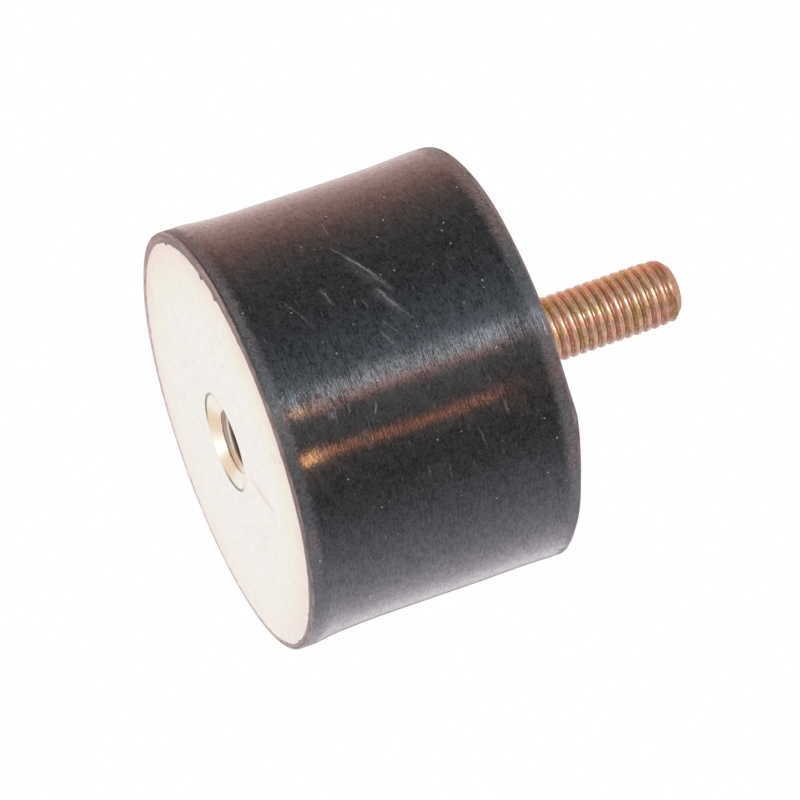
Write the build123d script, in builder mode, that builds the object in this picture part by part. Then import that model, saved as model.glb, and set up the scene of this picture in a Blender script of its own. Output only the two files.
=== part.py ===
from build123d import *

import math
import os

# Rubber buffer: a moulded rubber cylinder bonded to a steel plate at each end.
# The lower plate holds a blind threaded bush, the upper plate a threaded stud.
# The axis is +Z and the origin is the centre of the lower plate's outer face.
# All sizes are in millimetres.

# Moulded body
free_height = 50.0
lip_diameter = 75.0
lip_edge_radius = 0.7
lip_width = 2.2
flare_height = 3.8
flare_depth = 0.5
waist_depth = 0.25

# End plates, whose rims lie under a skin of rubber
rim_cover = 1.5
plate_thickness = 3.0
plate_edge_chamfer = 0.4

# Metric coarse thread of the stud and the bush
thread_diameter = 12.0
thread_pitch = 1.75

# Threaded bush in the lower plate
bush_wall = 3.0
bush_shoulder_width = 3.0
bush_end_wall = 2.0
bush_end_chamfer = 1.5
mouth_land = 0.2
mouth_depth = 1.75
thread_bore_length = 10.5
drill_point_angle = 118.0

# Threaded stud in the upper plate
stud_length = 35.0
stud_end_chamfer = 1.8
stud_neck_overhang = 0.5
stud_head_overhang = 6.0
stud_head_thickness = 4.0
stud_head_chamfer = 1.0

# Radii that follow from the sizes above
lip_radius = lip_diameter / 2
shoulder_radius = lip_radius - flare_depth
waist_radius = shoulder_radius - waist_depth
plate_radius = lip_radius - rim_cover
thread_radius = thread_diameter / 2
thread_bore_radius = (thread_diameter - thread_pitch) / 2
bush_neck_radius = thread_radius + bush_wall
bush_shoulder_radius = bush_neck_radius + bush_shoulder_width
mouth_radius = bush_neck_radius - mouth_land
stud_neck_radius = thread_radius + stud_neck_overhang
stud_head_radius = thread_radius + stud_head_overhang

# Heights above the lower plate's outer face
middle_height = free_height / 2
shoulder_height = lip_width + flare_height
thread_bore_end = mouth_depth + thread_bore_length
drill_point_end = thread_bore_end + thread_bore_radius / math.tan(math.radians(drill_point_angle / 2))
bush_end = drill_point_end + bush_end_wall
upper_plate_inner_face = free_height - plate_thickness
stud_head_inner_face = upper_plate_inner_face - stud_head_thickness
stud_end = free_height + stud_length

# The waist runs as a parabola, so this is its direction where the flare of the lip begins
shoulder_slope = (2 * (shoulder_radius - waist_radius), shoulder_height - middle_height)


# Half sections as (radius, height) points, shared by each steel piece and its seat in the rubber

def plate_section(outer_face, inner_face):
    """Solid disc from the axis to the rim, with both rim edges broken."""
    inward = math.copysign(plate_edge_chamfer, inner_face - outer_face)
    return [
        (0, outer_face),
        (plate_radius - plate_edge_chamfer, outer_face),
        (plate_radius, outer_face + inward),
        (plate_radius, inner_face - inward),
        (plate_radius - plate_edge_chamfer, inner_face),
        (0, inner_face),
    ]


def bush_section():
    """Neck through the plate, then a shoulder bedded in the rubber."""
    return [
        (0, 0),
        (bush_neck_radius, 0),
        (bush_neck_radius, plate_thickness),
        (bush_shoulder_radius, plate_thickness),
        (bush_shoulder_radius, bush_end - bush_end_chamfer),
        (bush_shoulder_radius - bush_end_chamfer, bush_end),
        (0, bush_end),
    ]


def stud_section():
    """Round head bedded in the rubber, a neck pressed through the plate, then the threaded shank."""
    return [
        (0, stud_head_inner_face),
        (stud_head_radius - stud_head_chamfer, stud_head_inner_face),
        (stud_head_radius, stud_head_inner_face + stud_head_chamfer),
        (stud_head_radius, upper_plate_inner_face),
        (stud_neck_radius, upper_plate_inner_face),
        (stud_neck_radius, free_height),
        (thread_radius, free_height),
        (thread_radius, stud_end - stud_end_chamfer),
        (thread_radius - stud_end_chamfer, stud_end),
        (0, stud_end),
    ]


os.makedirs("parts", exist_ok=True)

# Lower plate, with the hole that the bush is pressed into
with BuildPart() as female_plate:
    with BuildSketch(Plane.XZ):
        with BuildLine():
            Polyline(*plate_section(0, plate_thickness), close=True)
        make_face()
    revolve(axis=Axis.Z)
    with Locations((0, 0, plate_thickness)):
        Hole(bush_neck_radius)
female_plate.part.label = "female_plate"
export_step(female_plate.part, "parts/female_plate.step")

# Upper plate, with the hole that the stud's neck is pressed into
with BuildPart() as male_plate:
    with BuildSketch(Plane.XZ):
        with BuildLine():
            Polyline(*plate_section(free_height, upper_plate_inner_face), close=True)
        make_face()
    revolve(axis=Axis.Z)
    with Locations((0, 0, free_height)):
        Hole(stud_neck_radius)
male_plate.part.label = "male_plate"
export_step(male_plate.part, "parts/male_plate.step")

# Threaded bush: turned outside, then a wide conical mouth and a blind drilled thread bore
with BuildPart() as threaded_bush:
    with BuildSketch(Plane.XZ):
        with BuildLine():
            Polyline(*bush_section(), close=True)
        make_face()
    revolve(axis=Axis.Z)
    with BuildSketch(Plane.XZ):
        with BuildLine():
            Polyline(
                (0, 0),
                (mouth_radius, 0),
                (thread_bore_radius, mouth_depth),
                (thread_bore_radius, thread_bore_end),
                (0, drill_point_end),
                close=True,
            )
        make_face()
    revolve(axis=Axis.Z, mode=Mode.SUBTRACT)
threaded_bush.part.label = "threaded_bush"
export_step(threaded_bush.part, "parts/threaded_bush.step")

# Threaded stud: the shank stands at the thread's outer diameter, with a chamfered end
with BuildPart() as threaded_stud:
    with BuildSketch(Plane.XZ):
        with BuildLine():
            Polyline(*stud_section(), close=True)
        make_face()
    revolve(axis=Axis.Z)
threaded_stud.part.label = "threaded_stud"
export_step(threaded_stud.part, "parts/threaded_stud.step")

# Rubber body: the lower half is turned from its side profile and mirrored at mid height
with BuildPart() as rubber_body:
    with BuildSketch(Plane.XZ):
        with BuildLine():
            waist = Spline(
                (waist_radius, middle_height),
                (shoulder_radius, shoulder_height),
                tangents=[(0, -1), shoulder_slope],
            )
            flare = Spline(
                (shoulder_radius, shoulder_height),
                (lip_radius, lip_width),
                tangents=[shoulder_slope, (0, -1)],
            )
            lip = Line(flare @ 1, (lip_radius, lip_edge_radius))
            rim = RadiusArc(lip @ 1, (lip_radius - lip_edge_radius, 0), lip_edge_radius)
            Polyline(rim @ 1, (0, 0), (0, middle_height), waist @ 0)
        make_face()
    revolve(axis=Axis.Z)
    mirror(about=Plane.XY.offset(middle_height))

    # Seats of the steel pieces, which the rubber was moulded around
    for section in (
        plate_section(0, plate_thickness),
        plate_section(free_height, upper_plate_inner_face),
        bush_section(),
        stud_section(),
    ):
        with BuildSketch(Plane.XZ):
            with BuildLine():
                Polyline(*section, close=True)
            make_face()
        revolve(axis=Axis.Z, mode=Mode.SUBTRACT)
rubber_body.part.label = "rubber_body"
export_step(rubber_body.part, "parts/rubber_body.step")
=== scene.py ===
import math

import bpy
import numpy as np
from mathutils import Matrix, Vector


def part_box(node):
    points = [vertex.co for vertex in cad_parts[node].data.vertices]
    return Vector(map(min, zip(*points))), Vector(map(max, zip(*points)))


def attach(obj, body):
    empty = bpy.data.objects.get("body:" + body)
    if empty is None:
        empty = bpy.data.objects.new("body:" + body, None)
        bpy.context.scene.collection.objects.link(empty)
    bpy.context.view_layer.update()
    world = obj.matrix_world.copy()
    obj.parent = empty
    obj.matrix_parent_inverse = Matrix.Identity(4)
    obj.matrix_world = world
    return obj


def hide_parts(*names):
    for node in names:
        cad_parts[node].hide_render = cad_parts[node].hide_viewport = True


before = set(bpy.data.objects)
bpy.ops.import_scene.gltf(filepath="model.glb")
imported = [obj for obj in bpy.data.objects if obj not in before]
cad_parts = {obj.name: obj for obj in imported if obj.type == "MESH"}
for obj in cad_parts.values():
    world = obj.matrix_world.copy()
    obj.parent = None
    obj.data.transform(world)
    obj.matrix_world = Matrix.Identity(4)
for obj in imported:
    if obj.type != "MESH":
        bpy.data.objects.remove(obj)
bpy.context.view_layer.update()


def extent(node):
    """Radius, lowest and highest point of a turned node at rest, in millimetres."""
    low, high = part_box(node)
    return round(high[0] * 1000, 2), round(low[2] * 1000, 2), round(high[2] * 1000, 2)


# Sizes in millimetres from the frame
body_radius, _, height = extent("rubber_body")
plate_radius, _, plate_thickness = extent("female_plate")
bush_shoulder_radius, _, bush_end = extent("threaded_bush")
stud_head_radius, stud_head_face, stud_end = extent("threaded_stud")

# Sizes of the solids that their boxes don't show, as in the CAD source
plate_chamfer = 0.4
thread_pitch = 1.75
thread_radius = 6.0
bush_wall = 3.0
bush_end_wall = 2.0
bush_end_chamfer = 1.5
mouth_land = 0.2
mouth_depth = 1.75
thread_bore_length = 10.5
stud_neck_overhang = 0.5
stud_head_chamfer = 1.0
stud_chamfer = 1.8
bore_radius = thread_radius - thread_pitch / 2
bore_end = mouth_depth + thread_bore_length
drill_point = bush_end - bush_end_wall
bush_neck_radius = thread_radius + bush_wall
mouth_radius = bush_neck_radius - mouth_land
stud_neck_radius = thread_radius + stud_neck_overhang

# Sizes that only this model has
clear_of_box = 0.015
lip_radius = body_radius - clear_of_box
edge_radius = 0.25
upper_edge = 0.55
groove_height = 0.72
waist_radius = 36.7
plate_recess = 0.05
stud_crest_radius = 5.89
stud_root_radius = 5.38
thread_rows = 18

# Radii of the floor's rings, the first one that of its opening
floor_rings = (36.6, 60.0, 120.0, 300.0, 900.0)

# Tilt of the side in degrees at heights above the lower face, and how much of it the upper flare has
flare_heights = (0, 1.6, 2.6, 3.4, 4.2, 5.0, 5.8, 7.0, 8.5, 10, 12, 15, 25)
flare_tilts = (0, 0, 4.5, 7.0, 7.6, 7.1, 5.9, 4.2, 2.6, 1.6, 1.0, 0.6, 0)
upper_flare = 0.65

# Unevenness of the side below and above the axis as it lies in the photograph, at these heights, and the
# small waves of the mould: turns, waves per mm, phase, size
bulge_heights = (0, 2.5, 5, 10, 15, 20, 30, 35, 40, 43, 46, 50)
bulge_below = (0, 0.1, 0.05, 0.12, 0.10, 0.22, 0.40, 0.43, 0.34, 0.26, 0.12, 0.06)
bulge_above = (0, 0.3, 0.30, 0.16, 0.10, 0.15, 0.04, 0.02, 0.03, 0.12, 0.06, -0.14)
mould_waves = (
    (3, 0.011, 0.6, 0.012), (5, -0.023, 2.1, 0.010), (11, 0.041, 4.4, 0.004), (17, -0.03, 1.1, 0.003),
)

# How far the worn upper rim stands above or below true, by degrees from -Y towards +X
upper_rim_lean = (
    (-180, 0.0), (-110, 0.05), (-90, 0.1), (-70, 0.34), (-50, 0.40), (-38, 0.36), (-25, 0.18),
    (-8, 0.16), (8, 0.08), (16, 0.24), (24, 0.62), (30, 0.38), (36, 0.03), (44, -0.30),
    (55, -0.48), (65, -0.74), (75, -0.70), (86, -0.25), (100, 0.0), (180, 0.0),
)

# Wear of the lower rim and depth of the parting groove beside it, by the same degrees
lower_rim_wear = (
    (-180, 0.0), (-160, 0.0), (-140, 0.15), (-120, 0.48), (-105, 0.28), (-90, 0.08), (-75, 0.0),
    (180, 0.0),
)
groove_cut = (
    (-180, 0.0), (-95, 0.02), (-80, 0.08), (-45, 0.09), (-20, 0.03), (0, 0.0), (180, 0.0),
)

# Radius at which the visible face of each plate ends, by the same degrees
lower_plate_edge = (
    (-180, 36.4), (-160, 36.1), (-135, 35.75), (-90, 35.72), (-60, 35.85), (-30, 36.0),
    (-20, 36.3), (-8, 36.3), (5, 36.1), (20, 36.05), (32, 36.22), (42, 36.1), (52, 35.92),
    (75, 36.2), (92, 36.5), (115, 36.5), (145, 36.6), (180, 36.4),
)
upper_plate_edge = ((-180, 35.9), (180, 35.9))

# Torn places in the rubber's edge over each plate: degrees, half width in degrees, depth
lower_nicks = (
    (-79, 1.0, -0.45), (-72, 0.6, -0.2), (-49.5, 1.0, -0.85), (-40, 0.9, -0.80), (-24, 0.6, -0.3),
    (-3, 0.8, -0.2), (8, 0.6, -0.25), (62, 0.8, -0.3), (84, 0.9, -0.25), (131, 1.1, 0.2), (-140, 0.9, -0.25),
)
upper_nicks = ((-120, 0.9, 0.2), (-60, 0.7, -0.2), (15, 1.0, 0.2), (70, 0.6, 0.2), (140, 0.9, -0.2))

# Small waves of the same edges: turns, waves per mm, phase, size
lower_flash_waves = (
    (7, 0, 0.4, 0.02), (23, 0, 1.9, 0.02), (61, 0, 3.1, 0.025), (97, 0, 0.7, 0.03), (171, 0, 4.0, 0.025),
)
upper_flash_waves = ((6, 0, 2.4, 0.03), (19, 0, 0.9, 0.02), (89, 0, 1.7, 0.02), (149, 0, 0.3, 0.02))

# Strokes on the side: start and end as mm round it from -Y and height, width, strength
strokes = (
    ((-25.0, 22.6), (-16.9, 27.0), 0.42, 0.8), ((-27.5, 21.2), (-22.5, 24.0), 0.40, 0.35),
    ((-24.0, 22.2), (-15.6, 26.4), 1.50, 0.16), ((-17.0, 24.2), (-9.0, 28.6), 1.30, 0.18),
    ((-19.5, 25.3), (-14.6, 28.0), 0.80, 0.40), ((-16.9, 24.8), (-9.9, 28.1), 0.55, 0.7),
    ((-12.6, 26.9), (-8.6, 29.2), 0.30, 0.35), ((-20.0, 16.3), (-15.2, 17.5), 0.45, 0.35),
    ((-16.1, 20.9), (-14.0, 20.5), 0.22, 0.45), ((-15.4, 22.0), (-13.2, 22.7), 0.22, 0.35),
    ((-10.8, 23.6), (-7.0, 26.1), 0.25, 0.35), ((-9.6, 22.4), (-5.2, 24.7), 0.40, 0.35),
    ((-20.2, 9.4), (-12.5, 13.0), 0.22, 0.35), ((-34.4, 22.8), (-29.3, 22.6), 0.20, 0.5),
    ((1.7, 17.8), (4.0, 17.1), 0.20, 0.8), ((8.0, 38.9), (11.4, 39.0), 0.50, 0.35),
    ((11.4, 33.4), (15.0, 34.0), 0.30, 0.3), ((14.9, 23.6), (17.8, 23.5), 0.22, 0.35),
    ((15.6, 27.1), (19.0, 27.0), 0.22, 0.3), ((-0.6, 9.9), (2.9, 9.4), 0.20, 0.5),
    ((0.2, 11.0), (3.6, 10.4), 0.20, 0.45), ((0.3, 13.3), (2.5, 12.9), 0.20, 0.45),
    ((5.2, 14.2), (9.4, 14.8), 0.90, 0.28), ((1.0, 10.2), (2.4, 10.1), 0.45, 0.7),
    ((-14.4, 47.2), (-8.2, 47.9), 0.16, 0.4),
)

# Shades by share of a turn from the far side: the lip's flat end, whose bloom holds painted light, its
# groove's painted shade and the plate's tinted film
rim_bloom_and_painted_light = (
    (0.0, 0.88), (0.083, 0.72), (0.167, 0.58), (0.21, 0.42), (0.25, 0.39), (0.29, 0.27),
    (0.42, 0.26), (0.50, 0.245), (0.625, 0.25), (0.667, 0.35), (0.71, 0.37), (0.75, 0.44),
    (0.79, 0.58), (0.85, 0.84), (1.0, 0.88),
)
groove_shade = (
    (0.0, 0.0), (0.22, 0.1), (0.28, 1.0), (0.40, 0.8), (0.46, 0.3), (0.5, 0.0), (1.0, 0.0),
)
film_strength = (
    (0.0, 0.35), (0.10, 0.55), (0.17, 0.9), (0.25, 1.0), (0.5, 0.95), (0.67, 0.9), (0.75, 0.45),
    (0.83, 0.2), (1.0, 0.35),
)

# Colours of the scuffed lips and of the stud, by degrees from -Y towards +X: scuffs and the stud's yellow
# tint, with painted light and shade in how they change round the part
lower_scuff_and_painted_light = (
    (-180, (0.13, 0.12, 0.13)), (-100, (0.07, 0.06, 0.06)), (-85, (0.035, 0.03, 0.03)),
    (-70, (0.06, 0.05, 0.05)), (-60, (0.13, 0.11, 0.12)), (-50, (0.16, 0.14, 0.14)),
    (-35, (0.19, 0.17, 0.17)), (-30, (0.205, 0.185, 0.185)), (-24, (0.16, 0.155, 0.16)),
    (-10, (0.155, 0.165, 0.175)), (5, (0.165, 0.17, 0.175)), (10, (0.105, 0.115, 0.12)),
    (22, (0.125, 0.125, 0.14)), (27, (0.135, 0.14, 0.155)), (32, (0.20, 0.17, 0.18)),
    (38, (0.17, 0.165, 0.185)), (45, (0.14, 0.145, 0.17)), (58, (0.13, 0.135, 0.16)),
    (68, (0.21, 0.21, 0.235)), (74, (0.245, 0.235, 0.25)), (80, (0.19, 0.18, 0.19)),
    (100, (0.12, 0.12, 0.135)), (180, (0.13, 0.12, 0.13)),
)
upper_scuff_and_painted_light = (
    (-180, (0.15, 0.13, 0.13)), (-80, (0.16, 0.13, 0.125)), (-60, (0.22, 0.165, 0.155)),
    (-45, (0.25, 0.19, 0.175)), (-30, (0.25, 0.185, 0.175)), (-22, (0.14, 0.135, 0.14)),
    (-12, (0.11, 0.115, 0.125)), (0, (0.17, 0.15, 0.16)), (10, (0.175, 0.135, 0.135)),
    (15, (0.15, 0.14, 0.145)), (22, (0.155, 0.15, 0.16)), (32, (0.22, 0.175, 0.18)),
    (40, (0.20, 0.18, 0.19)), (50, (0.16, 0.15, 0.165)), (60, (0.14, 0.14, 0.15)),
    (180, (0.15, 0.13, 0.13)),
)
stud_tints_and_painted_light = (
    (-180, (0.74, 0.50, 0.36)), (-90, (0.90, 0.74, 0.63)), (-75, (0.88, 0.64, 0.50)),
    (-60, (0.82, 0.48, 0.31)), (-45, (0.90, 0.50, 0.31)), (-25, (0.88, 0.57, 0.39)),
    (0, (0.85, 0.60, 0.43)), (20, (0.84, 0.58, 0.41)), (40, (0.86, 0.54, 0.39)),
    (50, (0.68, 0.40, 0.28)), (60, (0.54, 0.34, 0.26)), (72, (0.62, 0.47, 0.40)),
    (85, (0.78, 0.62, 0.52)), (130, (0.74, 0.50, 0.36)), (180, (0.74, 0.50, 0.36)),
)


# Geometry

def smoothstep(value, low, high):
    t = np.clip((value - low) / (high - low), 0, 1)
    return t * t * (3 - 2 * t)


def ripple(angle, along, waves):
    """Sum of a few sine waves over the surface, each (turns, waves per mm, phase, size)."""
    total = 0.0
    for turns, per_mm, phase, size in waves:
        total = total + size * np.sin(turns * angle + 2 * math.pi * per_mm * along + phase)
    return total


def new_piece(name, points, faces):
    """Object in the scene from points in metres and faces."""
    mesh = bpy.data.meshes.new(name)
    mesh.from_pydata(points, [], faces)
    mesh.update()
    piece = bpy.data.objects.new(name, mesh)
    bpy.context.scene.collection.objects.link(piece)
    return piece


def angles_round(segments):
    return np.linspace(0, 2 * math.pi, segments, endpoint=False)


def turned_points(radius, along):
    """Points in metres from a grid of radii and heights in millimetres, rings by segments."""
    angle = angles_round(radius.shape[1])[None, :]
    grid = np.stack([radius * np.sin(angle), -radius * np.cos(angle), along], axis=-1)
    return grid.reshape(-1, 3) * 0.001


def ring_faces(first, following, segments):
    """Faces from each ring to the one that follows it, given the number of each ring's first point."""
    here = np.arange(segments)[None, :]
    after = (here + 1) % segments
    quads = np.stack([first + here, first + after, following + after, following + here], axis=-1)
    return quads.reshape(-1, 4).tolist()


def grid_of(rows, segments):
    """Radii and heights of rows, each given as one number or one for every segment."""
    full = np.ones(segments)
    return np.array([r * full for r, z in rows]), np.array([z * full for r, z in rows])


def lathe(name, radius, along):
    """Closed turned mesh. The end rings close on the axis."""
    rings, segments = radius.shape
    first = [0.0, 0.0, float(along[0].mean()) * 0.001]
    last = [0.0, 0.0, float(along[-1].mean()) * 0.001]
    points = np.vstack([turned_points(radius, along), [first, last]])
    ring = np.arange(rings - 1)[:, None] * segments
    faces = ring_faces(ring, ring + segments, segments)
    start = rings * segments
    end = start + 1
    top = (rings - 1) * segments
    for i in range(segments):
        j = (i + 1) % segments
        faces.append((start, j, i))
        faces.append((end, top + i, top + j))
    return new_piece(name, points.tolist(), faces)


def ring_lathe(name, radius, along):
    """Closed turned mesh with a hole: the last ring joins the first."""
    rings, segments = radius.shape
    ring = np.arange(rings)[:, None]
    faces = ring_faces(ring * segments, (ring + 1) % rings * segments, segments)
    return new_piece(name, turned_points(radius, along).tolist(), faces)


def settle(piece, node, material, sharp_angle):
    """Smooth shading with crisp edges, then the piece takes the CAD node's place."""
    piece.data.shade_smooth()
    piece.data.set_sharp_from_angle(angle=math.radians(sharp_angle))
    piece.data.materials.append(material)
    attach(piece, "root")
    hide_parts(node)


def side_radius(along):
    """Radius of the moulded side at a height, from the tilt of its flares, lips included."""
    fine = np.linspace(0, height / 2, 1001)
    tilt = np.interp(fine, flare_heights, flare_tilts)
    drop = np.concatenate([[0.0], np.cumsum(np.tan(np.radians(tilt[1:]))) * (fine[1] - fine[0])])
    lower = lip_radius - np.interp(along, fine, drop)
    upper = lip_radius - drop[-1] + upper_flare * (drop[-1] - np.interp(height - along, fine, drop))
    return np.where(along < height / 2, lower, upper)


def signed_degrees(angle):
    return np.degrees(angle + math.pi) % 360 - 180


def by_degrees(angle, table):
    """Value from a table of (degrees from -Y towards +X, value), at each angle."""
    places, values = zip(*table)
    return np.interp(signed_degrees(angle), places, values)


def settled(angle, radius, along):
    """A row of the rubber moved a little, where the real one sags, leans and is worn."""
    below = np.maximum(0, np.sin(angle)) ** 1.5 * np.interp(along, bulge_heights, bulge_below)
    above = np.maximum(0, -np.sin(angle)) ** 1.5 * np.interp(along, bulge_heights, bulge_above)
    wear = by_degrees(angle, lower_rim_wear) * (1 - smoothstep(along, 1.2, 4.5))
    outer = smoothstep(radius, plate_radius - 0.2, plate_radius + 0.9)
    moved = np.minimum(radius + (below + above - wear) * outer, lip_radius)
    lean = by_degrees(angle, upper_rim_lean) * smoothstep(along, height - 6, height - 0.4)
    return moved, along + lean * outer


def flash_edge(angle, waves, nicks):
    """Inner edge of the rubber that laps over a plate: nearly even, with a few torn nicks."""
    edge = ripple(angle, 0, waves)
    degrees = signed_degrees(angle)
    for place, half_width, depth in nicks:
        away = (degrees - place + 180) % 360 - 180
        edge = edge + depth * np.exp(-((away / half_width) ** 2))
    return edge


def rubber_mesh():
    segments = 540
    angle = angles_round(segments)
    full = np.ones(segments)
    rows = []

    def row(radius, along):
        rows.append((radius, along))

    def worn_row(radius, along):
        rows.append(settled(angle, radius * full, along * full))

    # Seat of the bush and the lower plate
    row(bush_shoulder_radius - bush_end_chamfer, bush_end)
    row(bush_shoulder_radius, bush_end - bush_end_chamfer)
    row(bush_shoulder_radius, plate_thickness)
    row(plate_radius - plate_chamfer, plate_thickness)
    row(plate_radius, plate_thickness - plate_chamfer)
    row(plate_radius, plate_chamfer)

    # Flash over the lower plate, the flat end of the lip and its edge
    inner = by_degrees(angle, lower_plate_edge) - 0.04 + flash_edge(angle, lower_flash_waves, lower_nicks)
    row(inner, plate_recess)
    row(inner + 0.02, 0.02)
    row(inner + 0.08, 0.0)
    worn_row(np.maximum(inner + 0.1, lip_radius - edge_radius - 0.3), 0.0)
    for step in np.linspace(0, 90, 7):
        turn = math.radians(step)
        worn_row(
            lip_radius - edge_radius + edge_radius * math.sin(turn),
            edge_radius - edge_radius * math.cos(turn),
        )

    # Parting groove beside the edge, cut only on one side
    cut = by_degrees(angle, groove_cut)
    worn_row(lip_radius, groove_height - 0.2)
    worn_row(lip_radius - cut, groove_height - 0.06)
    worn_row(lip_radius - cut, groove_height + 0.06)
    worn_row(lip_radius, groove_height + 0.2)

    # Side, with a slight unevenness from the mould that leaves the lips alone
    side = np.concatenate(
        [
            np.linspace(groove_height + 0.4, 12.0, 34),
            np.linspace(12.0, height - 12.0, 76)[1:],
            np.linspace(height - 12.0, height - 1.2, 32)[1:],
        ]
    )
    for along in side:
        edge = min(along, height - along)
        free = float(smoothstep(edge, 1.8, 7.0))
        worn_row(side_radius(np.array(along)) + free * ripple(angle, along, mould_waves), along)

    # Upper lip, flash and plate seat, then the seat of the stud's head
    upper = float(side_radius(np.array(height - 1.0)))
    for step in np.linspace(90, 0, 9):
        turn = math.radians(step)
        worn_row(
            upper - upper_edge + upper_edge * math.sin(turn),
            height - upper_edge + upper_edge * math.cos(turn),
        )
    inner = plate_radius - 0.3 + flash_edge(angle, upper_flash_waves, upper_nicks)
    row(inner + 0.10, height)
    row(inner + 0.02, height - 0.02)
    row(inner, height - plate_recess)
    row(plate_radius, height - plate_chamfer)
    row(plate_radius, height - plate_thickness + plate_chamfer)
    row(plate_radius - plate_chamfer, height - plate_thickness)
    row(stud_head_radius, height - plate_thickness)
    row(stud_head_radius, stud_head_face + stud_head_chamfer)
    row(stud_head_radius - stud_head_chamfer, stud_head_face)
    return lathe("rubber_body_moulded", *grid_of(rows, segments))


def plate_mesh(name, hole_radius, outer, inner, edge_table):
    """Plate with its outer face set back by the thickness of the rubber's flash."""
    segments = 360
    inward = 1.0 if inner > outer else -1.0
    face = outer + inward * plate_recess
    edge = by_degrees(angles_round(segments), edge_table)
    rows = [
        (hole_radius, inner),
        (hole_radius, face + inward * 0.06),
        (hole_radius + 0.06, face),
    ]
    rows += [(r, face) for r in np.linspace(hole_radius + 0.8, plate_radius - 0.8, 40)]
    rows += [
        (edge, face),
        (edge, face + inward * 0.2),
        (plate_radius, outer + inward * plate_chamfer),
        (plate_radius, inner - inward * plate_chamfer),
        (plate_radius - plate_chamfer, inner),
    ]
    if inward > 0:
        rows = rows[::-1]
    return ring_lathe(name, *grid_of(rows, segments))


def thread_height(along, angle, crest, root):
    """0 at the root and 1 at the crest of a right-hand thread with rounded corners."""
    phase = np.mod(along / thread_pitch - angle / (2 * math.pi), 1.0)
    away = np.abs(phase - 0.5)
    return 1 - smoothstep(away, crest, 0.5 - root)


def stud_mesh():
    segments = 112
    angle = angles_round(segments)
    rows = [
        (stud_head_radius - stud_head_chamfer, stud_head_face),
        (stud_head_radius, stud_head_face + stud_head_chamfer),
        (stud_head_radius, height - plate_thickness),
        (stud_neck_radius, height - plate_thickness),
        (stud_neck_radius, height - 0.12),
        (stud_neck_radius - 0.1, height - 0.02),
        (thread_radius - 0.25, height - 0.02),
    ]
    for along in np.arange(height + 0.05, stud_end, thread_pitch / thread_rows):
        lift = thread_height(along, angle, 0.10, 0.06)
        start = smoothstep(along, height, height + 1.2)
        low = stud_root_radius + 0.06 + (1 - start) * 0.34
        high = stud_crest_radius - 0.22 * smoothstep(along, stud_end - 5, stud_end - stud_chamfer)
        end = thread_radius - np.maximum(0, along - (stud_end - stud_chamfer))
        rows.append((np.minimum(low + (high - low) * lift, end), along))
    last = thread_radius - stud_chamfer
    rows.append((last, stud_end - 0.02))
    rows.append((last - 0.25, stud_end))
    return lathe("threaded_stud_turned", *grid_of(rows, segments))


def mouth_cone(along):
    """Radius of the bush's conical mouth at a height."""
    return mouth_radius - (mouth_radius - bore_radius) * along / mouth_depth


def bush_mesh():
    segments = 144
    angle = angles_round(segments)
    rows = [
        (bore_radius * 0.5, bore_end + (drill_point - bore_end) * 0.5),
        (bore_radius, bore_end),
        (bore_radius, bore_end - 0.4),
    ]
    for along in np.arange(bore_end - 0.5, 1.2, -thread_pitch / thread_rows):
        lift = thread_height(along, angle + math.pi, 0.10, 0.05)
        fade = 1 - smoothstep(along, bore_end - 1.6, bore_end - 0.6)
        radius = bore_radius + (thread_radius + 0.05 - bore_radius) * (1 - lift) * fade
        rows.append((np.maximum(radius, mouth_cone(along)), along))
    rows += [(mouth_cone(along), along) for along in np.linspace(1.1, 0.12, 8)]
    rows += [
        (mouth_radius - 0.06, 0.02),
        (mouth_radius, 0.0),
        (bush_neck_radius - 0.06, 0.0),
        (bush_neck_radius, 0.06),
        (bush_neck_radius, plate_thickness),
        (bush_shoulder_radius, plate_thickness),
        (bush_shoulder_radius, bush_end - bush_end_chamfer),
        (bush_shoulder_radius - bush_end_chamfer, bush_end),
    ]
    return lathe("threaded_bush_turned", *grid_of(rows, segments))


# Materials

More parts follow.
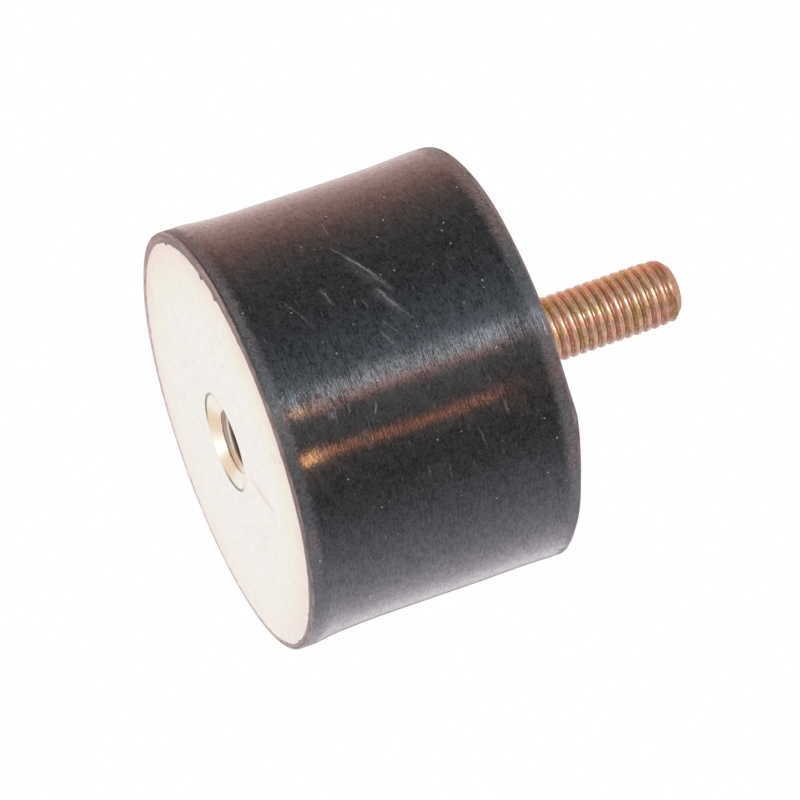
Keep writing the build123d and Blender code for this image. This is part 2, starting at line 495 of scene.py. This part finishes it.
class Graph:
    """Adds nodes to a tree and links values into their sockets."""

    def __init__(self, tree):
        self.tree = tree
        tree.nodes.clear()

    def add(self, kind, inputs=None, **settings):
        made = self.tree.nodes.new(kind)
        for name, value in settings.items():
            setattr(made, name, value)
        for key, value in (inputs or {}).items():
            socket = made.inputs[key]
            if isinstance(value, bpy.types.NodeSocket):
                self.tree.links.new(value, socket)
            else:
                socket.default_value = value
        return made

    def math(self, operation, a, b=0.0, c=0.0):
        return self.add("ShaderNodeMath", {0: a, 1: b, 2: c}, operation=operation).outputs[0]

    def plus(self, a, b):
        return self.math("ADD", a, b)

    def minus(self, a, b):
        return self.math("SUBTRACT", a, b)

    def times(self, a, b):
        return self.math("MULTIPLY", a, b)

    def away(self, value, middle):
        """Distance of a number from a middle value."""
        return self.math("ABSOLUTE", self.minus(value, middle))

    def swayed(self, value, noise, size):
        """Value moved up and down by a noise."""
        return self.plus(value, self.times(self.minus(noise, 0.5), size))

    def measure(self, operation, a, b):
        """One number from two vectors, such as their distance or dot product."""
        return self.add("ShaderNodeVectorMath", {0: a, 1: b}, operation=operation).outputs["Value"]

    def step(self, value, low, high, to_low=0.0, to_high=1.0):
        made = self.add(
            "ShaderNodeMapRange",
            {"Value": value, "From Min": low, "From Max": high, "To Min": to_low, "To Max": to_high},
            interpolation_type="SMOOTHSTEP",
        )
        return made.outputs["Result"]

    def mix(self, factor, a, b, blend="MIX"):
        made = self.add("ShaderNodeMix", {0: factor, 6: a, 7: b}, data_type="RGBA", blend_type=blend)
        return made.outputs[2]

    def tinted(self, colour, tint):
        """Colour multiplied by another."""
        return self.mix(1.0, colour, tint, "MULTIPLY")

    def ramp(self, value, stops):
        made = self.add("ShaderNodeValToRGB", {0: value})
        elements = made.color_ramp.elements
        while len(elements) < len(stops):
            elements.new(0.5)
        for element, (position, colour) in zip(elements, stops):
            element.position = position
            element.color = (*colour, 1.0)
        return made.outputs[0]

    def greys(self, share, table):
        """Grey from a table of (share of a turn, shade)."""
        return self.ramp(share, [(place, (shade, shade, shade)) for place, shade in table])

    def colours(self, share, table):
        """Colour from a table of (degrees from -Y towards +X, colour), at a share of a turn."""
        return self.ramp(share, [((degrees + 180) / 360, colour) for degrees, colour in table])

    def noise(self, vector, scale, detail=2.0, roughness=0.5, distortion=0.0):
        inputs = {
            "Vector": vector,
            "Scale": scale,
            "Detail": detail,
            "Roughness": roughness,
            "Distortion": distortion,
        }
        return self.add("ShaderNodeTexNoise", inputs).outputs[0]

    def scaled(self, vector, x, y, z):
        return self.add("ShaderNodeVectorMath", {0: vector, 1: (x, y, z)}, operation="MULTIPLY").outputs[0]

    def along(self, vector, start, end):
        """Share of the way from start to end, and distance to the side of that line."""
        run = (end[0] - start[0], end[1] - start[1])
        length = math.hypot(*run)
        offset = self.add("ShaderNodeVectorMath", {0: vector, 1: (*start, 0)}, operation="SUBTRACT")
        offset = offset.outputs[0]
        share = self.measure("DOT_PRODUCT", offset, (run[0] / length**2, run[1] / length**2, 0))
        off = self.measure("DOT_PRODUCT", offset, (-run[1] / length, run[0] / length, 0))
        return share, off

    def bump(self, height_value, distance, strength=1.0, normal=None):
        inputs = {"Height": height_value, "Distance": distance, "Strength": strength}
        if normal is not None:
            inputs["Normal"] = normal
        return self.add("ShaderNodeBump", inputs).outputs[0]


def start_material(name):
    """New material with its graph, the object's coordinates in millimetres, and x, y, z of them."""
    material = bpy.data.materials.new(name)
    material.use_nodes = True
    graph = Graph(material.node_tree)
    place = graph.add("ShaderNodeTexCoord").outputs["Object"]
    place = graph.scaled(place, 1000, 1000, 1000)
    split = graph.add("ShaderNodeSeparateXYZ", {0: place})
    return material, graph, place, split.outputs


def end_material(graph, inputs):
    shader = graph.add("ShaderNodeBsdfPrincipled", inputs)
    graph.add("ShaderNodeOutputMaterial", {"Surface": shader.outputs[0]})


def grey(value):
    return (value, value, value, 1.0)


def radius_and_turn(g, x, y):
    """Distance from the axis in mm, and the angle from -Y towards +X as -0.5 to 0.5 of a turn."""
    radius = g.math("SQRT", g.plus(g.times(x, x), g.times(y, y)))
    turn = g.times(g.math("ARCTAN2", x, g.times(y, -1.0)), 1 / (2 * math.pi))
    return radius, turn


def rubber_material():
    material, g, place, (x, y, z) = start_material("moulded_rubber")
    edge = g.math("MINIMUM", z, g.minus(height, z))
    radius, turn = radius_and_turn(g, x, y)
    share = g.plus(turn, 0.5)
    around = g.times(turn, 2 * math.pi * waist_radius)
    side = g.add("ShaderNodeCombineXYZ", {0: around, 1: z}).outputs[0]

    # Fine turned lines round the side, from the mould, and the grain of the rubber
    lines = g.noise(g.scaled(place, 0.35, 0.35, 3.2), 1.0, 2.0, 0.6)
    fine_lines = g.noise(g.scaled(place, 0.8, 0.8, 6.0), 1.0, 1.0, 0.5)
    grain = g.noise(place, 2.4, 3.0, 0.75)
    patch = g.noise(place, 0.7, 3.0, 0.7)
    cloud = g.noise(place, 0.11, 4.0, 0.6, 0.4)
    smear = g.noise(g.scaled(place, 0.16, 0.16, 0.30), 1.0, 3.0, 0.6, 0.3)
    ticks = g.noise(g.scaled(place, 0.55, 0.55, 4.2), 1.0, 2.0, 0.6)
    fleck = g.step(grain, 0.39, 0.61)

    # Dust: a few white specks, many faint ones, and short pale marks that run round the side
    wander = g.add("ShaderNodeTexNoise", {"Vector": place, "Scale": 5.0, "Detail": 1.0}).outputs["Color"]
    bent = g.add("ShaderNodeVectorMath", {0: wander, 1: (0.3, 0.3, 0.3), 2: place}, operation="MULTIPLY_ADD")
    bent = bent.outputs[0]

    def dust(vector, scale, channel, least, most):
        cells = g.add("ShaderNodeTexVoronoi", {"Vector": vector, "Scale": scale, "Randomness": 1.0})
        pick = g.add("ShaderNodeSeparateColor", {0: cells.outputs["Color"]}).outputs[channel]
        size = g.step(pick, least, 1.0, 0.0, most)
        gap = g.minus(size, cells.outputs["Distance"])
        return g.step(gap, 0.0, most * 0.5)

    speck = dust(bent, 0.8, 0, 0.70, 0.17)
    small_speck = dust(bent, 2.1, 1, 0.35, 0.30)
    dash = dust(g.scaled(bent, 0.40, 0.40, 2.6), 1.0, 2, 0.55, 0.32)

    # Scratches and scuffs, each between two places on the side, as mm round it and height
    wobble = g.times(g.minus(patch, 0.5), 0.7)
    breaks = g.step(grain, 0.36, 0.54, 0.35, 1.0)

    def stroke(start, end, width):
        way, off = g.along(side, start, end)
        off = g.math("ABSOLUTE", g.plus(off, wobble))
        ends = g.times(g.step(way, 0.0, 0.2), g.step(way, 0.6, 1.0, 1.0, 0.0))
        return g.times(g.step(off, 0.0, width, 1.0, 0.0), ends)

    marks = 0.0
    for start, end, width, strength in strokes:
        marks = g.math("MAXIMUM", marks, g.times(stroke(start, end, width), strength))
    marks = g.times(marks, breaks)

    # Colour: near black with a mottled grain, paler along the scuffed lips, whose colour round each lip also
    # holds painted light and shade
    colour = g.mix(fleck, (0.006, 0.006, 0.006, 1), (0.027, 0.026, 0.027, 1))
    colour = g.mix(g.step(patch, 0.42, 0.64, 0.0, 0.55), colour, (0.034, 0.033, 0.033, 1))
    colour = g.mix(g.times(g.step(smear, 0.54, 0.72), 0.3), colour, (0.05, 0.048, 0.048, 1))
    colour = g.mix(g.times(g.step(lines, 0.60, 0.80), 0.35), colour, (0.07, 0.07, 0.072, 1))
    ragged = g.swayed(edge, patch, 2.5)
    scuff = g.times(g.step(ragged, 1.5, 3.4, 1.0, 0.0), g.step(grain, 0.36, 0.60, 0.62, 1.0))
    upper = g.step(z, height / 2 - 1, height / 2 + 1)
    # Scuff colour by angle: scuffed rubber, with painted light and shade that changes round each lip
    scuff_and_painted_light_colour = g.mix(upper, g.colours(share, lower_scuff_and_painted_light), g.colours(share, upper_scuff_and_painted_light))
    scuff_and_painted_light_colour = g.tinted(scuff_and_painted_light_colour, g.step(grain, 0.36, 0.64, 0.76, 1.16))
    colour = g.mix(g.times(scuff, 0.85), colour, scuff_and_painted_light_colour)
    colour = g.mix(g.times(dash, 0.60), colour, (0.11, 0.11, 0.115, 1))
    colour = g.mix(g.times(small_speck, 0.36), colour, (0.20, 0.20, 0.205, 1))
    colour = g.mix(g.times(speck, 0.9), colour, (0.50, 0.50, 0.50, 1))
    colour = g.mix(marks, colour, (0.30, 0.29, 0.29, 1))

    # Painted shade in the parting groove, then the flat end of the lip, whose bloom is made palest on one
    # side by painted light
    # Painted shade: the parting groove darkened towards near black on one side of the lip
    groove = g.step(g.away(z, groove_height), 0.10, 0.35, 1.0, 0.0)
    groove = g.times(groove, g.greys(share, groove_shade))
    colour = g.mix(g.times(groove, 0.75), colour, (0.012, 0.011, 0.011, 1))
    reach = g.step(share, 0.38, 0.44, 0.16, 0.0)
    reach = g.minus(reach, g.step(g.math("ABSOLUTE", turn), 0.27, 0.34, 0.0, 0.20))
    rim = g.step(g.minus(edge, reach), 0.26, 0.46, 1.0, 0.0)
    end_map = g.add("ShaderNodeCombineXYZ", {0: around, 1: radius}).outputs[0]
    ridges = g.noise(g.scaled(end_map, 0.25, 5.0, 1.0), 1.0, 3.0, 0.65)
    rim_colour = g.mix(g.step(ridges, 0.40, 0.58), (0.72, 0.60, 0.61, 1), (1.26, 1.05, 1.06, 1))
    rim_colour = g.mix(g.step(grain, 0.35, 0.65), g.tinted(rim_colour, grey(0.75)), rim_colour)
    # Painted highlight: the rounded outer edge of the lip's flat end made up to 1.45 times paler
    painted_edge_highlight = g.times(g.step(radius, 36.9, 37.35), g.step(share, 0.42, 0.52, 1.45, 1.15))
    rim_colour = g.mix(g.step(radius, 36.9, 37.3), rim_colour, g.tinted(rim_colour, painted_edge_highlight))
    # Bloom of the flat end, with painted light that makes it palest on the far side, from +Y
    rim_colour = g.tinted(rim_colour, g.greys(share, rim_bloom_and_painted_light))
    warm = g.step(g.math("ABSOLUTE", g.plus(turn, 0.11)), 0.16, 0.22, 1.0, 0.0)
    rim_colour = g.mix(warm, rim_colour, g.tinted(rim_colour, (1.20, 1.05, 1.0, 1)))
    # Painted shadow: near black inside the torn places, where the rubber's edge reaches in over the plate
    torn_painted_shadow = g.step(radius, 35.58, 35.80, 0.9, 0.0)
    colour = g.mix(rim, colour, g.mix(torn_painted_shadow, rim_colour, (0.03, 0.028, 0.03, 1)))

    # Roughness, then the gloss, with soft patches where it is stronger or weaker
    rough = g.step(cloud, 0.3, 0.8, 0.14, 0.21)
    rough = g.plus(rough, g.step(smear, 0.55, 0.8, 0.0, 0.12))
    smudge = g.swayed(g.measure("DISTANCE", side, (7.5, 43.0, 0)), smear, 8.0)
    smudge = g.step(smudge, 3.0, 9.0, 1.0, 0.0)
    rough = g.plus(rough, g.times(smudge, 0.08))
    rough = g.plus(rough, g.times(scuff, 0.25))
    rough = g.plus(rough, g.times(marks, 0.3))
    rough = g.math("MAXIMUM", rough, g.times(rim, 0.8))
    coat = g.plus(g.step(grain, 0.38, 0.62, -0.21, 0.21), g.step(patch, 0.38, 0.62, -0.16, 0.14))
    coat = g.plus(coat, g.step(ticks, 0.40, 0.60, -0.34, 0.34))
    uneven = g.times(g.step(turn, -0.12, -0.06), g.step(turn, -0.015, 0.02, 1.0, 0.0))
    uneven = g.math("MULTIPLY_ADD", uneven, 0.6, g.step(g.math("ABSOLUTE", turn), 0.06, 0.12, 0.85, 0.6))
    coat = g.plus(g.times(coat, uneven), 0.69)
    polish = g.swayed(g.measure("DISTANCE", side, (-1.2, 20.5, 0)), smear, 8.0)
    coat = g.plus(coat, g.step(polish, 2.5, 7.0, 0.26, 0.0))
    glow = g.measure("DISTANCE", side, (-3.6, 36.0, 0))
    coat = g.plus(coat, g.step(glow, 4.0, 12.0, 0.18, 0.0))
    dull = g.measure("DISTANCE", side, (7.2, 14.1, 0))
    coat = g.minus(coat, g.step(g.plus(dull, wobble), 0.3, 1.3, 0.4, 0.0))
    coat = g.minus(coat, g.times(scuff, 0.65))
    coat = g.minus(coat, g.times(smudge, 0.5))
    coat = g.minus(coat, g.times(marks, 0.8))
    coat = g.math("MAXIMUM", g.math("MINIMUM", coat, g.step(rim, 0.0, 1.0, 1.0, 0.05)), 0.05)

    normal = g.bump(grain, 0.000010)
    normal = g.bump(lines, 0.000040, g.step(turn, -0.012, 0.002, 1.0, 0.4), normal=normal)
    normal = g.bump(fine_lines, 0.000012, normal=normal)
    end_material(
        g,
        {
            "Base Color": colour,
            "Roughness": rough,
            "IOR": 1.42,
            "Coat Weight": coat,
            "Coat Roughness": 0.06,
            "Coat IOR": 1.6,
            "Normal": normal,
            "Coat Normal": normal,
        },
    )
    return material


def plate_material():
    material, g, place, (x, y, z) = start_material("zinc_passivated_plate")
    radius, turn = radius_and_turn(g, x, y)
    cloud = g.noise(place, 0.09, 3.0, 0.55, 0.5)
    stain = g.noise(place, 0.16, 3.0, 0.6, 0.8)
    fine = g.noise(place, 1.6, 3.0, 0.6)
    shifted = g.swayed(radius, cloud, 5.0)

    # Thin passivation film: white in the middle, straw then pink towards the rim
    film = g.ramp(
        g.math("DIVIDE", shifted, 40.0),
        [
            (0.0, (0.965, 0.958, 0.953)),
            (0.60, (0.965, 0.957, 0.943)),
            (0.70, (0.945, 0.950, 0.870)),
            (0.77, (0.950, 0.930, 0.800)),
            (0.81, (0.955, 0.885, 0.775)),
            (0.855, (0.950, 0.805, 0.745)),
            (0.89, (0.905, 0.765, 0.735)),
            (1.0, (0.895, 0.755, 0.725)),
        ],
    )
    plain = g.mix(g.step(stain, 0.40, 0.60), (0.972, 0.958, 0.956, 1), (0.950, 0.950, 0.915, 1))
    colour = g.mix(g.greys(g.plus(turn, 0.5), film_strength), plain, film)
    colour = g.mix(g.times(g.step(stain, 0.55, 0.66), 0.40), colour, (0.955, 0.885, 0.885, 1))
    tinge = g.noise(place, 0.22, 3.0, 0.6, 1.2)
    colour = g.mix(g.step(tinge, 0.54, 0.68, 0.0, 0.5), colour, (0.93, 0.955, 0.885, 1))
    colour = g.mix(g.step(tinge, 0.30, 0.44, 0.5, 0.0), colour, (0.965, 0.945, 0.965, 1))

    def mark(start, end, width, tint, strength):
        """Soft stroke between two places on the face, in mm."""
        way, off = g.along(place, start, end)
        line = g.step(g.math("ABSOLUTE", g.swayed(off, stain, width)), 0.0, width, 1.0, 0.0)
        ends = g.times(g.step(way, -0.1, 0.2), g.step(way, 0.7, 1.1, 1.0, 0.0))
        low = g.step(z, height / 2, height / 2 + 1, 1.0, 0.0)
        line = g.times(g.times(line, ends), low)
        return g.mix(g.times(line, strength), colour, tint)

    colour = mark((7.0, -9.2), (14.4, -18.3), 1.3, (0.86, 0.72, 0.69, 1), 0.8)
    colour = mark((3.9, -29.4), (6.5, -30.9), 0.9, (0.74, 0.73, 0.64, 1), 0.6)
    colour = mark((5.9, -33.4), (6.3, -33.7), 0.5, (0.38, 0.36, 0.32, 1), 0.9)
    mottle = g.noise(place, 0.55, 2.0, 0.6)
    colour = g.mix(g.step(mottle, 0.44, 0.62, 0.0, 0.40), colour, (0.88, 0.86, 0.84, 1))
    colour = g.mix(g.step(fine, 0.44, 0.62, 0.0, 0.20), colour, (0.80, 0.78, 0.76, 1))
    rough = g.step(cloud, 0.3, 0.7, 0.44, 0.54)
    normal = g.bump(fine, 0.000008)
    end_material(g, {"Base Color": colour, "Metallic": 0.45, "Roughness": rough, "Normal": normal})
    return material


def bush_material():
    material, g, place, (x, y, z) = start_material("zinc_bush_turned")
    radius, turn = radius_and_turn(g, x, y)
    cloud = g.noise(place, 0.5, 3.0, 0.6)
    fine = g.noise(g.scaled(place, 1.0, 1.0, 8.0), 1.0, 2.0, 0.6)
    # Film tints near the mouth; deeper in the bore the ramp darkens to near black, which is painted shade
    film = g.ramp(
        g.math("DIVIDE", g.plus(z, g.times(cloud, 0.4)), 6.0),
        [
            (0.0, (0.90, 0.88, 0.81)),
            (0.20, (0.90, 0.86, 0.76)),
            (0.32, (0.94, 0.84, 0.76)),
            (0.52, (0.90, 0.75, 0.66)),
            (0.66, (0.42, 0.36, 0.30)),
            (0.85, (0.12, 0.11, 0.09)),
            (1.0, (0.05, 0.05, 0.045)),
        ],
    )
    colour = g.mix(g.times(g.step(fine, 0.4, 0.8), 0.2), film, (0.70, 0.62, 0.54, 1))

    copper = g.times(g.step(turn, 0.27, 0.38), g.step(turn, 0.44, 0.48, 1.0, 0.0))
    copper = g.times(copper, g.step(z, 1.0, 1.6, 0.0, 0.6))
    colour = g.mix(copper, colour, g.tinted(colour, (0.84, 0.64, 0.48, 1)))

    # Painted dark reflection along the mouth's rounded edge, on two parts of the mouth
    inside = g.step(radius, mouth_radius - 0.5, mouth_radius - 0.15)
    outside = g.step(radius, mouth_radius + 0.06, mouth_radius + 0.18, 1.0, 0.0)
    away = g.math("ABSOLUTE", turn)
    part = g.times(g.step(away, 0.17, 0.26), g.step(away, 0.36, 0.44, 1.0, 0.0))
    mouth_edge_painted_reflection = g.times(g.times(inside, outside), part)
    colour = g.mix(g.times(mouth_edge_painted_reflection, 0.85), colour, (0.13, 0.12, 0.085, 1))
    rough = g.math("MAXIMUM", g.step(fine, 0.3, 0.7, 0.18, 0.26), g.step(z, 1.2, 1.9, 0.1, 0.34))
    normal = g.bump(fine, 0.000008)
    metal = g.math("MAXIMUM", g.step(z, 1.2, 1.6, 1.0, 0.55), g.step(z, 2.7, 3.3))
    end_material(g, {"Base Color": colour, "Metallic": metal, "Roughness": rough, "Normal": normal})
    return material


def stud_material():
    material, g, place, (x, y, _) = start_material("yellow_passivated_zinc")
    radius, turn = radius_and_turn(g, x, y)
    cloud = g.noise(place, 0.30, 3.0, 0.6, 0.6)
    fine = g.noise(g.scaled(place, 1.4, 1.4, 4.0), 1.0, 3.0, 0.65)

    # Yellow passivation in tints that change round the stud, partly painted light and shade, with roots and
    # lower flanks painted darker as shade
    tint = g.colours(g.plus(turn, 0.5), stud_tints_and_painted_light)
    rosy = g.tinted(tint, (0.98, 0.84, 0.90, 1))
    olive = g.tinted(tint, (0.80, 0.84, 0.60, 1))
    tint = g.mix(g.step(cloud, 0.51, 0.60), tint, rosy)
    tint = g.mix(g.step(cloud, 0.38, 0.48, 1.0, 0.0), tint, olive)
    # Painted shade: darker from the roots up the flanks, by radius
    root = g.step(radius, stud_root_radius + 0.24, stud_root_radius + 0.53, 1.0, 0.0)
    colour = g.mix(root, tint, g.tinted(tint, (0.62, 0.49, 0.39, 1)))
    worn = g.tinted(colour, (0.66, 0.58, 0.50, 1))
    colour = g.mix(g.step(fine, 0.48, 0.66, 0.0, 0.5), colour, worn)
    colour = g.mix(g.step(fine, 0.34, 0.46, 0.30, 0.0), colour, (0.97, 0.88, 0.80, 1))
    rough = g.step(fine, 0.3, 0.7, 0.30, 0.42)
    normal = g.bump(g.noise(place, 0.7, 2.0, 0.5), 0.000060)
    normal = g.bump(fine, 0.000014, normal=normal)
    end_material(g, {"Base Color": colour, "Metallic": 0.95, "Roughness": rough, "Normal": normal})
    return material


settle(rubber_mesh(), "rubber_body", rubber_material(), 50)
plate_look = plate_material()
settle(
    plate_mesh("female_plate_faced", bush_neck_radius, 0.0, plate_thickness, lower_plate_edge),
    "female_plate",
    plate_look,
    40,
)
settle(
    plate_mesh("male_plate_faced", stud_neck_radius, height, height - plate_thickness, upper_plate_edge),
    "male_plate",
    plate_look,
    40,
)
settle(bush_mesh(), "threaded_bush", bush_material(), 40)
settle(stud_mesh(), "threaded_stud", stud_material(), 50)


# Floor: a pale sheet that the buffer stands on, seen by the camera alone and only from above

def make_floor():
    """The opening under the buffer lets the camera see its lower face from below."""
    segments = 128
    radius = np.outer(floor_rings, np.ones(segments))
    ring = np.arange(len(floor_rings) - 1)[:, None] * segments
    upward = [(a, d, c, b) for a, b, c, d in ring_faces(ring, ring + segments, segments)]
    floor = new_piece("floor", turned_points(radius, 0 * radius).tolist(), upward)
    material = bpy.data.materials.new("pale_floor")
    material.use_nodes = True
    g = Graph(material.node_tree)
    place = g.add("ShaderNodeTexCoord").outputs["Object"]
    distance = g.add("ShaderNodeVectorMath", {0: place}, operation="LENGTH").outputs["Value"]
    sheet = g.add("ShaderNodeBsdfDiffuse", {"Color": (0.93, 0.93, 0.93, 1)})
    clear = g.add("ShaderNodeBsdfTransparent")
    under = g.add("ShaderNodeNewGeometry").outputs["Backfacing"]
    other = g.minus(1.0, g.add("ShaderNodeLightPath").outputs["Is Camera Ray"])
    away = g.math("MAXIMUM", g.math("MAXIMUM", under, other), g.step(distance, 0.12, 0.55))
    mixed = g.add("ShaderNodeMixShader", {0: away, 1: sheet.outputs[0], 2: clear.outputs[0]})
    g.add("ShaderNodeOutputMaterial", {"Surface": mixed.outputs[0]})
    floor.data.materials.append(material)


make_floor()


# Studio: a pale room, darker on the camera's side, with one cool strip of light and four warm ones

def make_world():
    world = bpy.data.worlds.new("studio")
    bpy.context.scene.world = world
    world.use_nodes = True
    g = Graph(world.node_tree)
    direction = g.add("ShaderNodeTexCoord").outputs["Generated"]
    x, y, z = g.add("ShaderNodeSeparateXYZ", {0: direction}).outputs
    azimuth = g.times(g.math("ARCTAN2", x, g.times(y, -1.0)), 180 / math.pi)
    elevation = g.times(g.math("ARCSINE", z), 180 / math.pi)

    # Brightness round the horizon, by degrees from the camera's side, held in the ramp as shares of the gain
    around = [
        (-180, (0.75, 0.70, 0.68)),
        (-172, (0.80, 0.72, 0.70)),
        (-160, (0.98, 0.80, 0.78)),
        (-150, (1.08, 0.78, 0.75)),
        (-130, (1.10, 0.69, 0.62)),
        (-120, (1.06, 0.61, 0.55)),
        (-110, (0.88, 0.50, 0.44)),
        (-100, (0.62, 0.40, 0.37)),
        (-90, (0.42, 0.33, 0.32)),
        (-80, (0.28, 0.27, 0.26)),
        (-68, (0.18, 0.20, 0.21)),
        (-50, (0.23, 0.25, 0.28)),
        (-40, (0.27, 0.32, 0.38)),
        (-24, (0.52, 0.62, 0.75)),
        (-16, (0.85, 0.98, 1.14)),
        (-9, (1.00, 1.08, 1.18)),
        (-3, (0.90, 0.85, 0.86)),
        (1, (0.52, 0.54, 0.57)),
        (12, (0.44, 0.46, 0.49)),
        (26, (0.26, 0.27, 0.28)),
        (44, (0.19, 0.20, 0.21)),
        (54, (0.27, 0.28, 0.30)),
        (64, (0.45, 0.47, 0.52)),
        (76, (0.63, 0.65, 0.73)),
        (88, (0.82, 0.82, 0.92)),
        (100, (0.99, 0.97, 1.09)),
        (132, (1.18, 1.11, 1.23)),
        (150, (1.23, 1.16, 1.24)),
        (160, (1.00, 0.95, 0.95)),
        (165, (0.74, 0.70, 0.70)),
        (169, (0.34, 0.32, 0.32)),
        (179, (0.30, 0.28, 0.28)),
    ]
    gain = 1.25
    dimmed = [(degrees, tuple(c / gain for c in colour)) for degrees, colour in around]
    ring = g.colours(g.math("DIVIDE", g.plus(azimuth, 180.0), 360.0), dimmed)
    ring = g.tinted(ring, grey(gain))
    dome = g.ramp(
        g.math("DIVIDE", g.plus(elevation, 90.0), 180.0),
        [
            (0.0, (0.97, 0.96, 0.95)),
            (0.30, (0.97, 0.955, 0.94)),
            (0.42, (0.99, 0.98, 0.97)),
            (0.60, (0.96, 0.96, 0.96)),
            (1.0, (0.96, 0.96, 0.96)),
        ],
    )

    # The band that has this brightness ends lower behind the object, and boards darken it low in front
    behind = g.step(y, -0.2, 0.7)
    lifted = g.plus(elevation, g.times(behind, 8.0))
    band = g.times(g.step(elevation, -6.0, 5.0), g.step(lifted, 30.0, 46.0, 1.0, 0.0))
    light = g.mix(band, dome, ring)
    low = g.times(g.step(elevation, -50.0, -35.0), g.step(elevation, -6.0, 5.0, 1.0, 0.0))
    low_front = g.times(g.step(y, -0.6, 0.1, 1.0, 0.0), low)
    light = g.mix(g.times(low_front, 0.75), light, (0.46, 0.38, 0.36, 1))

    def tube(middle, half_width, soft, low, high, colour):
        """Upright strip of light, soft at its edges."""
        across = g.step(g.away(azimuth, middle), half_width - soft, half_width + soft, 1.0, 0.0)
        up = g.times(g.step(elevation, low[0], low[1]), g.step(elevation, high[0], high[1], 1.0, 0.0))
        return g.mix(g.times(across, up), (0, 0, 0, 1), colour)

    for part in (
        tube(-7.4, 4.2, 1.4, (9.0, 14.0), (15.4, 19.5), (4.6, 4.7, 5.1, 1)),
        tube(-1.2, 1.7, 0.8, (12.3, 16.0), (22.0, 25.0), (3.9, 1.4, 0.95, 1)),
        tube(22.8, 1.5, 0.6, (13.0, 15.8), (23.0, 25.0), (6.2, 1.85, 0.85, 1)),
        tube(-2.6, 1.5, 0.8, (22.5, 29.0), (29.5, 31.0), (22.0, 10.6, 5.0, 1)),
        tube(23.8, 2.0, 1.0, (20.5, 30.0), (30.5, 32.0), (27.0, 13.2, 6.2, 1)),
    ):
        light = g.mix(1.0, light, part, "ADD")

    def spot(place, height_angle, inner, outer):
        """Share of a round patch of the room, by azimuth, elevation and two radii in degrees."""
        flat = math.cos(math.radians(height_angle))
        towards = (
            flat * math.sin(math.radians(place)),
            -flat * math.cos(math.radians(place)),
            math.sin(math.radians(height_angle)),
        )
        near = g.measure("DOT_PRODUCT", direction, towards)
        return g.step(near, math.cos(math.radians(outer)), math.cos(math.radians(inner)))

    # Warm boards below and behind, and two small bright lamps between them
    for place in (-152, 152):
        light = g.mix(g.times(spot(place, -50, 5, 16), 0.85), light, (0.88, 0.66, 0.50, 1))
    light = g.mix(spot(-171, -64, 0.5, 4.2), light, (1.6, 1.75, 1.8, 1))
    light = g.mix(spot(-177, -74, 2, 8), light, (2.6, 2.6, 2.6, 1))

    # The camera sees a plain white background
    seen = g.add("ShaderNodeLightPath").outputs["Is Camera Ray"]
    light = g.mix(seen, light, (1, 1, 1, 1))
    back = g.add("ShaderNodeBackground", {"Color": light, "Strength": 1.0})
    g.add("ShaderNodeOutputWorld", {"Surface": back.outputs[0]})


make_world()


# Cool soft box in front of the stud, too high for the side of the rubber to mirror
def make_soft_box():
    light = bpy.data.lights.new("soft_box", "AREA")
    light.shape = "RECTANGLE"
    light.size = 0.042
    light.size_y = 0.074
    light.energy = 0.084
    light.color = (0.56, 0.82, 1.0)
    box = bpy.data.objects.new("soft_box", light)
    box.location = (-0.020, -0.200, 0.148)
    box.rotation_euler = (math.radians(90), 0, 0)
    box.visible_camera = False
    bpy.context.scene.collection.objects.link(box)


make_soft_box()

# Camera, at the photograph's viewing angle
focal_length = 191.232
camera_place = (0.0, -0.708298, -0.159255)
right = Vector((0.32702778, -0.24725706, 0.91209472))
up = Vector((-0.94500602, -0.08142026, 0.31675601))
back = right.cross(up)
camera_data = bpy.data.cameras.new("camera")
camera_data.sensor_width = 36.0
camera_data.lens = focal_length
camera_data.clip_start = 0.01
camera_data.clip_end = 20.0
camera = bpy.data.objects.new("camera", camera_data)
bpy.context.scene.collection.objects.link(camera)
camera.matrix_world = Matrix(
    (
        (right.x, up.x, back.x, camera_place[0]),
        (right.y, up.y, back.y, camera_place[1]),
        (right.z, up.z, back.z, camera_place[2]),
        (0.0, 0.0, 0.0, 1.0),
    )
)
bpy.context.scene.camera = camera

bpy.context.scene.view_settings.view_transform = "Standard"
